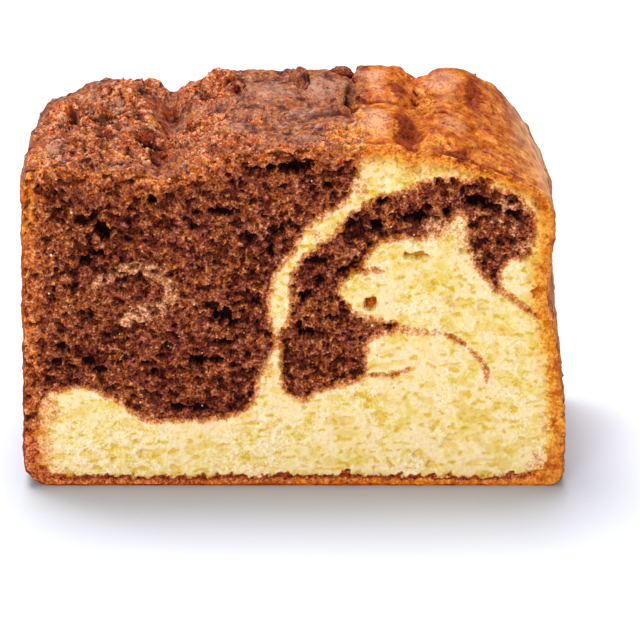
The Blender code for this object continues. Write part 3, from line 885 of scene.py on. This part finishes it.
def add(tree, kind, inputs=None, **settings):
    """A new node. An input is a value, or another node's output."""
    made = tree.nodes.new(kind)
    for name, value in settings.items():
        setattr(made, name, value)
    for name, value in (inputs or {}).items():
        socket = made.inputs[name]
        if isinstance(value, bpy.types.NodeSocket):
            tree.links.new(value, socket)
        else:
            socket.default_value = value
    return made


def sums(tree, operation, a, b=0.0, c=0.0):
    return add(tree, "ShaderNodeMath", {0: a, 1: b, 2: c}, operation=operation).outputs[0]


def blend(tree, share, a, b, mode="MIX"):
    """Colour a turning into colour b as share goes from 0 to 1."""
    node = add(tree, "ShaderNodeMix", {0: share, 6: a, 7: b}, data_type="RGBA", blend_type=mode)
    return node.outputs[2]


def between(tree, value, start, end, low_end=0.0, high_end=1.0):
    """Value from start to end, eased and spread over low_end to high_end."""
    node = add(tree, "ShaderNodeMapRange", {0: value, 1: start, 2: end, 3: low_end, 4: high_end},
               interpolation_type="SMOOTHSTEP")
    return node.outputs[0]


def shades(tree, value, *stops):
    """A colour ramp from stops of (position, red, green, blue)."""
    node = add(tree, "ShaderNodeValToRGB", {0: value})
    ramp = node.color_ramp
    while len(ramp.elements) < len(stops):
        ramp.elements.new(0.5)
    for element, (position, *colour) in zip(ramp.elements, stops):
        element.position = position
        element.color = linear(*colour)
    return node.outputs[0]


def stored(tree, name):
    """A value kept on the mesh."""
    return add(tree, "ShaderNodeAttribute", attribute_name=name).outputs["Fac"]


def new_group(name, numbers_in, numbers_out):
    """An empty node group with number inputs (name, value) and number outputs."""
    group = bpy.data.node_groups.new(name, "ShaderNodeTree")
    for label, value in numbers_in:
        group.interface.new_socket(label, in_out="INPUT", socket_type="NodeSocketFloat").default_value = value
    for label in numbers_out:
        group.interface.new_socket(label, in_out="OUTPUT", socket_type="NodeSocketFloat")
    return group, group.nodes.new("NodeGroupInput"), group.nodes.new("NodeGroupOutput")


def place_group(tree, group, **inputs):
    """The group as a node of a material, with its own values."""
    made = add(tree, "ShaderNodeGroup", node_tree=group)
    for name, value in inputs.items():
        socket = made.inputs[name.replace("_", " ")]
        if isinstance(value, bpy.types.NodeSocket):
            tree.links.new(value, socket)
        else:
            socket.default_value = value
    return made


def new_material(name):
    material = bpy.data.materials.new(name)
    material.use_nodes = True
    return material, material.node_tree, material.node_tree.nodes["Principled BSDF"]


# %% [markdown]
# ## Shared effects
# Two effects are used by more than one material, so each is a node group. *Crumb grain* is the fine
# bubbly texture that is too small for the mesh: a light and dark value, a second value to vary the
# hue, and a height. *Ragged edge* turns a stored distance into masks whose borders wander, as batter
# does: one for the border itself, and one for the core, past a band where the two batters mixed.

# %% Crumb grain
def crumb_grain_group():
    group, inside, out = new_group("crumb grain", (("Per metre", 3000.0),), ("Grain", "Hue", "Height"))
    place = add(group, "ShaderNodeTexCoord").outputs["Object"]
    along = add(group, "ShaderNodeVectorMath", {0: place, 1: (1.0, 0.6, 1.0)}, operation="MULTIPLY").outputs[0]
    scale = inside.outputs["Per metre"]
    fine = add(group, "ShaderNodeTexNoise", {"Vector": along, "Scale": scale, "Detail": 2.0, "Roughness": 0.6})
    wide = add(group, "ShaderNodeTexNoise", {"Vector": along, "Scale": sums(group, "MULTIPLY", scale, 0.37),
                                             "Detail": 2.0, "Roughness": 0.6})
    fine_parts = add(group, "ShaderNodeSeparateColor", {0: fine.outputs["Color"]})
    wide_parts = add(group, "ShaderNodeSeparateColor", {0: wide.outputs["Color"]})
    grain = sums(group, "MULTIPLY_ADD", fine_parts.outputs[0], 0.55,
                 sums(group, "MULTIPLY", wide_parts.outputs[0], 0.45))
    group.links.new(grain, out.inputs["Grain"])
    group.links.new(wide_parts.outputs[1], out.inputs["Hue"])
    group.links.new(grain, out.inputs["Height"])
    return group


crumb_grain = crumb_grain_group()
print("group:", crumb_grain.name)


# %% Ragged edge
def ragged_edge_group():
    group, inside, out = new_group("ragged edge", (("Distance", 0.0), ("Wander", 0.4), ("Softness", 0.2),
                                                   ("Band", 0.8)), ("Mask", "Core"))
    place = add(group, "ShaderNodeTexCoord").outputs["Object"]
    swing = add(group, "ShaderNodeTexNoise", {"Vector": place, "Scale": 1100.0, "Detail": 2.0, "Roughness": 0.7})
    centred = sums(group, "SUBTRACT", swing.outputs["Fac"], 0.5)
    moved = sums(group, "MULTIPLY_ADD", centred, sums(group, "MULTIPLY", inside.outputs["Wander"], 5.0),
                 inside.outputs["Distance"])
    for label, start in (("Mask", 0.0), ("Core", inside.outputs["Band"])):
        past = sums(group, "SUBTRACT", moved, start)
        share = sums(group, "DIVIDE", past, inside.outputs["Softness"])
        group.links.new(between(group, share, -1.0, 1.0), out.inputs[label])
    return group


ragged_edge = ragged_edge_group()
print("group:", ragged_edge.name)

# %% [markdown]
# ## Marbled crumb
# Vanilla crumb is pale cream yellow with deeper yellow dents; cocoa crumb is brown with lighter, slightly
# orange grains. Pores and dents are darkened by their depth, which is painted shade: near-black in the
# cocoa, and in the vanilla mixed with the dents' own deeper yellow. Along their border, and in the thin
# threads of cocoa, the crumb is a mixed orange-brown. Towards the skin all turns golden, then to the rind.

# %% Crumb material
def crumb_material():
    material, tree, shader = new_material("marbled crumb")
    grain = place_group(tree, crumb_grain, Per_metre=2500.0)
    edge = place_group(tree, ragged_edge, Distance=stored(tree, "cocoa"), Wander=0.35, Softness=0.35, Band=0.9)
    grey, hue = grain.outputs["Grain"], grain.outputs["Hue"]
    place = add(tree, "ShaderNodeTexCoord").outputs["Object"]
    drift = add(tree, "ShaderNodeTexNoise", {"Vector": place, "Scale": 300.0, "Detail": 4.0,
                                             "Roughness": 0.65}).outputs["Fac"]
    calm = add(tree, "ShaderNodeTexNoise", {"Vector": place, "Scale": 75.0, "Detail": 1.0}).outputs["Fac"]
    calm = between(tree, calm, 0.38, 0.58, 1.1, 0.35)
    soft_grey = sums(tree, "MULTIPLY_ADD", sums(tree, "SUBTRACT", grey, 0.5), calm, 0.5)
    vanilla = shades(tree, soft_grey, (0.34, 202, 170, 98), (0.43, 224, 199, 144), (0.51, 231, 209, 164),
                     (0.62, 240, 225, 200))
    creamier = shades(tree, hue, (0.36, 253, 253, 232), (0.5, 255, 255, 255), (0.64, 255, 251, 248))
    vanilla = blend(tree, 1.0, vanilla, creamier, "MULTIPLY")
    yellower = shades(tree, drift, (0.36, 255, 252, 252), (0.48, 255, 254, 252), (0.56, 252, 249, 222),
                      (0.65, 241, 233, 154))
    vanilla = blend(tree, 1.0, vanilla, yellower, "MULTIPLY")
    baked_specks = sums(tree, "MULTIPLY", between(tree, stored(tree, "gold"), 0.02, 0.35, 0.0, 0.65),
                        between(tree, hue, 0.46, 0.39))
    vanilla = blend(tree, baked_specks, vanilla, linear(176, 122, 60))
    mixed = shades(tree, grey, (0.37, 150, 74, 34), (0.5, 200, 122, 66), (0.62, 238, 180, 124))
    cocoa = shades(tree, grey, (0.35, 38, 10, 5), (0.42, 86, 36, 21), (0.45, 120, 60, 38), (0.52, 148, 84, 54),
                   (0.58, 180, 118, 84), (0.66, 226, 180, 148))
    tint = shades(tree, hue, (0.36, 200, 190, 204), (0.44, 238, 230, 236), (0.52, 255, 243, 230),
                  (0.59, 255, 231, 178), (0.66, 255, 210, 116))
    cocoa = blend(tree, 1.0, cocoa, tint, "MULTIPLY")
    stirring = shades(tree, drift, (0.34, 166, 128, 152), (0.45, 234, 214, 224), (0.56, 255, 246, 222),
                      (0.68, 255, 250, 206))
    cocoa = blend(tree, 1.0, cocoa, stirring, "MULTIPLY")
    batter = blend(tree, edge.outputs["Mask"], vanilla, mixed)
    batter = blend(tree, edge.outputs["Core"], batter, cocoa)
    stirred = blend(tree, edge.outputs["Core"],
                    shades(tree, grey, (0.38, 178, 112, 66), (0.5, 220, 172, 118), (0.62, 242, 212, 164)),
                    shades(tree, grey, (0.38, 124, 62, 34), (0.5, 190, 124, 80), (0.62, 234, 184, 140)))
    patchy = between(tree, sums(tree, "MULTIPLY_ADD", hue, 2.0, stored(tree, "half_mixed")), 1.25, 1.75)
    batter = blend(tree, patchy, batter, stirred)
    gold = stored(tree, "gold")
    light = stored(tree, "light")
    tan = shades(tree, gold, (0.0, 255, 255, 255), (0.3, 250, 230, 194), (0.6, 230, 184, 124), (0.85, 204, 134, 84),
                 (1.0, 178, 100, 62))
    amber = shades(tree, gold, (0.0, 255, 255, 255), (0.3, 255, 234, 176), (0.6, 254, 212, 112),
                   (0.85, 244, 170, 78), (1.0, 216, 126, 54))
    vanilla_gold = blend(tree, between(tree, light, 0.5, 0.7), tan, amber)
    cocoa_gold = shades(tree, gold, (0.0, 255, 255, 255), (0.5, 255, 235, 215), (1.0, 255, 215, 180))
    golden = blend(tree, edge.outputs["Mask"], vanilla_gold, cocoa_gold)
    batter = blend(tree, 1.0, batter, golden, "MULTIPLY")
    cocoa_rind = shades(tree, grey, (0.35, 104, 40, 16), (0.43, 156, 79, 39), (0.51, 191, 112, 63),
                        (0.58, 222, 150, 94), (0.66, 242, 194, 138))
    cocoa_rind = blend(tree, 1.0, cocoa_rind, tint, "MULTIPLY")
    cocoa_share = sums(tree, "MULTIPLY", sums(tree, "MULTIPLY", gold, 0.95), edge.outputs["Core"])
    batter = blend(tree, cocoa_share, batter, cocoa_rind)
    crumbly = shades(tree, grey, (0.35, 92, 36, 22), (0.43, 164, 92, 58), (0.51, 216, 150, 100), (0.58, 244, 194, 140),
                     (0.66, 255, 232, 190))
    even = shades(tree, grey, (0.35, 186, 124, 84), (0.5, 222, 164, 112), (0.64, 246, 202, 150))
    even = blend(tree, 1.0, even, shades(tree, drift, (0.36, 206, 150, 130), (0.46, 246, 232, 226),
                                         (0.6, 255, 255, 255)), "MULTIPLY")
    baked = blend(tree, between(tree, light, 0.5, 0.9), crumbly, even)
    side_tint = shades(tree, light, (0.0, 158, 84, 56), (0.45, 222, 168, 150), (0.75, 250, 204, 112),
                       (1.0, 255, 234, 138))
    rind = blend(tree, 1.0, baked, side_tint, "MULTIPLY")
    golden_rind = blend(tree, 1.0, cocoa_rind, linear(255, 232, 210), "MULTIPLY")
    golden_rind = blend(tree, 0.55, golden_rind, rind)
    cocoa_rind = blend(tree, between(tree, light, 0.74, 0.92), cocoa_rind, golden_rind)
    rind = blend(tree, edge.outputs["Core"], rind, cocoa_rind)
    rind_share = sums(tree, "MULTIPLY_ADD", sums(tree, "SUBTRACT", hue, 0.5), 1.8, stored(tree, "rind"))
    batter = blend(tree, between(tree, rind_share, 0.25, 0.75), batter, rind)
    # Pores and dents darkened by their depth: painted shade, near-black in the cocoa; in the vanilla partly the dents'
    # own deeper yellow.
    hollow = stored(tree, "hollow")
    pit_yellow_and_shade = shades(tree, hollow, (0.0, 255, 255, 255), (0.7, 238, 224, 132), (1.0, 204, 150, 62))
    cocoa_pit_shade = shades(tree, hollow, (0.0, 255, 255, 255), (0.4, 206, 176, 168), (1.0, 50, 13, 6))
    colour = blend(tree, 1.0, batter, blend(tree, edge.outputs["Core"], pit_yellow_and_shade, cocoa_pit_shade), "MULTIPLY")
    tree.links.new(colour, shader.inputs["Base Color"])
    shader.inputs["Roughness"].default_value = 0.85
    shader.inputs["Specular IOR Level"].default_value = 0.08
    bump = add(tree, "ShaderNodeBump", {"Height": grain.outputs["Height"], "Strength": 0.8, "Distance": 0.0004})
    tree.links.new(bump.outputs["Normal"], shader.inputs["Normal"])
    return material


crumb_finish = crumb_material()
print("material:", crumb_finish.name)

# %% [markdown]
# ## Browned crust
# The same skin has four looks. Over the cocoa batter it is matt and dark with orange-red specks and a
# greyish painted sheen. Over the vanilla batter it is a glossy golden brown with painted highlights on the
# pillows, dark red where they turn down into a crack, partly toasted and partly painted shade, and yellow
# where it tore open. The walls are duller, with painted shade in their dimples.

# %% Crust material
def cocoa_crust(tree, grain, hue, drift, place):
    """Brown and rough where coarse, with orange grains and pinkish specks of painted highlight; a smoother
    skin between, whose pinholes are dark dots of painted shade.
    """
    coarse = stored(tree, "coarse")
    contrast = sums(tree, "MULTIPLY_ADD", coarse, 0.4, 0.6)
    grain = sums(tree, "MULTIPLY_ADD", sums(tree, "SUBTRACT", grain, 0.5), contrast, 0.5)
    colour = shades(tree, grain, (0.33, 62, 16, 5), (0.41, 132, 54, 23), (0.49, 177, 102, 65), (0.56, 206, 151, 118),
                    (0.66, 236, 206, 188))
    tint = shades(tree, hue, (0.37, 218, 198, 212), (0.45, 246, 236, 242), (0.52, 255, 246, 232),
                  (0.59, 255, 232, 180), (0.66, 255, 214, 126))
    colour = blend(tree, 1.0, colour, tint, "MULTIPLY")
    along = add(tree, "ShaderNodeVectorMath", {0: place, 1: (1.0, 0.5, 1.0)}, operation="MULTIPLY").outputs[0]
    spots = add(tree, "ShaderNodeTexNoise", {"Vector": along, "Scale": 520.0, "Detail": 4.0,
                                             "Roughness": 0.65}).outputs["Color"]
    spots = add(tree, "ShaderNodeSeparateColor", {0: spots}).outputs
    orange = shades(tree, grain, (0.40, 136, 46, 12), (0.50, 190, 90, 32), (0.62, 228, 150, 76))
    colour = blend(tree, between(tree, sums(tree, "MULTIPLY_ADD", coarse, 0.06, spots[0]), 0.59, 0.65, 0.0, 0.8),
                   colour, orange)
    # Pinkish-grey specks: painted highlights on the grains and on the smooth skin.
    pale = sums(tree, "MULTIPLY", between(tree, spots[1], 0.57, 0.64, 0.0, 0.8), between(tree, coarse, 0.0, 0.6, 0.75, 0.6))
    colour = blend(tree, pale, colour, linear(214, 176, 156))
    patches = shades(tree, drift, (0.34, 110, 76, 76), (0.43, 196, 170, 166), (0.50, 244, 232, 222),
                     (0.57, 255, 250, 232), (0.68, 255, 244, 196))
    colour = blend(tree, 1.0, colour, patches, "MULTIPLY")
    # Pinholes on the smoother skin are painted dark: painted shade, with no relief under it.
    holes = add(tree, "ShaderNodeTexVoronoi", {"Vector": along, "Scale": 620.0})
    pinholes = sums(tree, "MULTIPLY", between(tree, holes.outputs["Distance"], 0.20, 0.12, 0.0, 0.9),
                    between(tree, coarse, 0.2, 0.7, 1.0, 0.2))
    colour = blend(tree, 1.0, colour, shades(tree, coarse, (0.1, 203, 206, 212), (0.6, 255, 255, 255)), "MULTIPLY")
    return blend(tree, pinholes, colour, linear(40, 14, 8))


def vanilla_crust(tree, grain, hue, drift, place):
    """Golden brown, mottled, with fine streaks of painted sheen down the right wall, and a right shoulder
    that is partly painted light.
    """
    colour = shades(tree, drift, (0.34, 130, 50, 6), (0.44, 166, 80, 14), (0.55, 187, 109, 28),
                    (0.68, 210, 144, 65))
    mottle = shades(tree, grain, (0.36, 166, 116, 84), (0.47, 240, 230, 218), (0.58, 255, 255, 255))
    colour = blend(tree, 1.0, colour, mottle, "MULTIPLY")
    tint = shades(tree, hue, (0.38, 255, 224, 190), (0.5, 255, 248, 238), (0.62, 255, 255, 240))
    colour = blend(tree, 1.0, colour, tint, "MULTIPLY")
    # Pale streaks down the upper right wall: painted sheen.
    run = add(tree, "ShaderNodeVectorMath", {0: place, 1: (0.35, 1.0, 0.16)}, operation="MULTIPLY").outputs[0]
    streaks = add(tree, "ShaderNodeTexNoise", {"Vector": run, "Scale": 1300.0, "Detail": 2.0}).outputs["Fac"]
    along = add(tree, "ShaderNodeSeparateXYZ", {0: place}).outputs[0]
    pale = sums(tree, "MULTIPLY", between(tree, streaks, 0.52, 0.66), between(tree, along, 0.030, 0.046, 0.04, 0.3))
    colour = blend(tree, pale, colour, linear(232, 176, 130))
    # The right shoulder is painted paler: partly its golden colour, partly painted light.
    shoulder_gold_and_light = shades(tree, drift, (0.36, 186, 104, 44), (0.48, 228, 150, 74), (0.62, 246, 188, 116))
    return blend(tree, between(tree, along, 0.041, 0.049, 0.0, 0.6), colour, shoulder_gold_and_light)


def crust_material():
    material, tree, shader = new_material("browned crust")
    grain = place_group(tree, crumb_grain, Per_metre=2700.0)
    edge = place_group(tree, ragged_edge, Distance=stored(tree, "cocoa"), Wander=0.6, Softness=0.8, Band=0.5)
    grey, hue = grain.outputs["Grain"], grain.outputs["Hue"]
    place = add(tree, "ShaderNodeTexCoord").outputs["Object"]
    along = add(tree, "ShaderNodeVectorMath", {0: place, 1: (1.0, 0.55, 1.0)}, operation="MULTIPLY").outputs[0]
    drift = add(tree, "ShaderNodeTexNoise", {"Vector": along, "Scale": 420.0, "Detail": 3.0,
                                             "Roughness": 0.7}).outputs["Fac"]
    coarse, deep, on_top = stored(tree, "coarse"), stored(tree, "deep"), stored(tree, "on_top")
    cocoa = cocoa_crust(tree, grey, hue, drift, place)
    vanilla = vanilla_crust(tree, grey, hue, drift, place)
    top = blend(tree, edge.outputs["Core"], vanilla, cocoa)
    # Painted highlight: a pale tint over the marked zones, pinker over the vanilla and greyer over the cocoa.
    highlight_colour = blend(tree, edge.outputs["Core"], linear(196, 142, 106), linear(170, 122, 100))
    highlight_share = sums(tree, "MULTIPLY", stored(tree, "bloom"), between(tree, grey, 0.40, 0.54, 0.3, 0.9))
    top = blend(tree, highlight_share, top, highlight_colour)
    golden = shades(tree, grey, (0.38, 140, 56, 10), (0.5, 196, 114, 32), (0.62, 228, 172, 78))
    gold_share = sums(tree, "MULTIPLY_ADD", stored(tree, "golden"), 1.0, sums(tree, "MULTIPLY", hue, 2.0))
    top = blend(tree, between(tree, gold_share, 1.35, 1.85, 0.0, 0.8), top, golden)
    # Dark red-brown: partly toasted crust, partly painted shade.
    toasted_share = sums(tree, "MULTIPLY_ADD", stored(tree, "toasted"), 1.0, hue)
    toasted = shades(tree, grey, (0.40, 70, 14, 2), (0.60, 142, 50, 14))
    top = blend(tree, between(tree, toasted_share, 0.7, 1.35, 0.0, 0.92), top, toasted)
    # Painted shade in the top's pits, creases and crevices.
    top = blend(tree, deep, top, blend(tree, edge.outputs["Core"], linear(96, 30, 8), linear(50, 12, 7)))
    # The right wall is paler: partly its baked colour, partly painted light, as it faces away from the lamps.
    wall = shades(tree, stored(tree, "light"), (0.0, 190, 107, 47), (0.45, 172, 96, 58), (0.9, 240, 164, 88))
    wall = blend(tree, 1.0, wall, shades(tree, grey, (0.36, 176, 136, 110), (0.46, 236, 226, 214),
                                         (0.62, 255, 255, 255)), "MULTIPLY")
    wall_drift = add(tree, "ShaderNodeTexNoise", {"Vector": place, "Scale": 420.0, "Detail": 3.0,
                                                  "Roughness": 0.7}).outputs["Fac"]
    wall = blend(tree, 1.0, wall, shades(tree, wall_drift, (0.36, 168, 128, 108), (0.46, 230, 210, 196),
                                         (0.54, 255, 248, 240), (0.62, 255, 255, 236)), "MULTIPLY")
    clouds = add(tree, "ShaderNodeTexNoise", {"Vector": place, "Scale": 62.0, "Detail": 3.0}).outputs["Fac"]
    wall = blend(tree, 1.0, wall, shades(tree, clouds, (0.36, 196, 150, 122), (0.48, 244, 228, 214),
                                         (0.58, 255, 255, 255)), "MULTIPLY")
    height = add(tree, "ShaderNodeSeparateXYZ", {0: place}).outputs[2]
    wall = blend(tree, 1.0, wall, shades(tree, sums(tree, "MULTIPLY", height, 14.0), (0.03, 236, 214, 196),
                                         (0.2, 255, 255, 255), (0.55, 255, 252, 246), (0.85, 240, 218, 200)),
                 "MULTIPLY")
    # Painted shade in the walls' dimples.
    wall = blend(tree, deep, wall, linear(120, 58, 26))
    top_share = sums(tree, "MULTIPLY_ADD", sums(tree, "SUBTRACT", clouds, 0.5), 2.4, on_top)
    colour = blend(tree, between(tree, top_share, 0.2, 0.8), wall, top)
    tree.links.new(colour, shader.inputs["Base Color"])
    gloss = sums(tree, "MULTIPLY_ADD", edge.outputs["Core"], 0.12, 0.42)
    rough = sums(tree, "MULTIPLY_ADD", coarse, 0.25, gloss)
    tree.links.new(sums(tree, "MULTIPLY_ADD", on_top, -0.15, sums(tree, "ADD", rough, 0.15)),
                   shader.inputs["Roughness"])
    shader.inputs["Specular IOR Level"].default_value = 0.1
    height = sums(tree, "MULTIPLY", grain.outputs["Height"], sums(tree, "MULTIPLY_ADD", coarse, 0.7, 0.3))
    bump = add(tree, "ShaderNodeBump", {"Height": height, "Strength": 0.8, "Distance": 0.0006})
    tree.links.new(bump.outputs["Normal"], shader.inputs["Normal"])
    return material


crust_finish = crust_material()
print("material:", crust_finish.name)

# %% Put the materials on, and fix the pieces to the frame
for piece, slot, finish in (
    (crumb_front, "crumb", crumb_finish),
    (crumb_back, "crumb", crumb_finish),
    (crust, "crust", crust_finish),
    (crust_flake, "crust", crust_finish),
    (crust_knob, "crust", crust_finish),
    (crust_grains, "crust", crust_finish),
    (cut_crumbs, "crumb", crumb_finish),
    (pale_crumbs, "crumb", crumb_finish),
):
    piece.data.materials.append(finish)
    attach(piece, "root")
    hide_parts("cake")

# %% [markdown]
# ## Floor, light and camera
# A plain pale floor and a white world, bright enough for the floor to come out white. The
# main light is a large soft one almost overhead, a little behind and to the left, so the cake's soft
# shadow falls towards the viewer. A smaller one, low in front, lights the cut and shows its grain.

# %% Floor
def make_floor():
    bm = bmesh.new()
    bmesh.ops.create_grid(bm, x_segments=1, y_segments=1, size=12.0)
    floor = finish_piece(bm, "floor")
    material, tree, shader = new_material("white floor")
    shader.inputs["Base Color"].default_value = (0.555, 0.575, 0.63, 1.0)
    shader.inputs["Roughness"].default_value = 1.0
    shader.inputs["Specular IOR Level"].default_value = 0.0
    floor.data.materials.append(material)
    return floor


make_floor()

# %% Lights
AIM = Vector((0.0050589, low.y, 0.0343721))
WORLD_LIGHT = 0.5
WORLD_REFLECTED = 0.12   # a studio is darker around its lamps than a white sky


def soft_light(name, towards, distance, size, power):
    """A square lamp at a distance from the cake."""
    lamp = bpy.data.lights.new(name, "AREA")
    lamp.size = size
    lamp.energy = power
    light = bpy.data.objects.new(name, lamp)
    direction = Vector(towards).normalized()
    light.location = AIM + direction * distance
    light.rotation_euler = direction.to_track_quat("Z", "Y").to_euler()
    bpy.context.scene.collection.objects.link(light)


soft_light("overhead light", (-0.13, 0.31, 0.94), 2.0, 1.1, 66.0)
soft_light("front light", (-0.38, -0.91, 0.17), 1.0, 0.35, 7.0)
world = bpy.data.worlds.new("white studio")
world.use_nodes = True
bpy.context.scene.world = world
backdrop = world.node_tree.nodes["Background"]
backdrop.inputs["Color"].default_value = (1, 1, 1, 1)
ray = add(world.node_tree, "ShaderNodeLightPath").outputs
strength = add(world.node_tree, "ShaderNodeMapRange", {0: ray["Is Camera Ray"], 3: WORLD_LIGHT, 4: 1.0}).outputs[0]
strength = add(world.node_tree, "ShaderNodeMix", {0: ray["Is Glossy Ray"], 2: strength, 3: WORLD_REFLECTED}).outputs[0]
world.node_tree.links.new(strength, backdrop.inputs["Strength"])

# %% Camera
ELEVATION = math.radians(20)
DISTANCE = 0.75
sight = bpy.data.cameras.new("camera")
sight.lens = 220.2
sight.sensor_width = 36
sight.clip_start = 0.01
camera = bpy.data.objects.new("camera", sight)
camera.location = AIM + DISTANCE * Vector((0, -math.cos(ELEVATION), math.sin(ELEVATION)))
camera.rotation_euler = (math.pi / 2 - ELEVATION, 0, 0)
bpy.context.scene.collection.objects.link(camera)
bpy.context.scene.camera = camera
bpy.context.scene.view_settings.view_transform = "Standard"
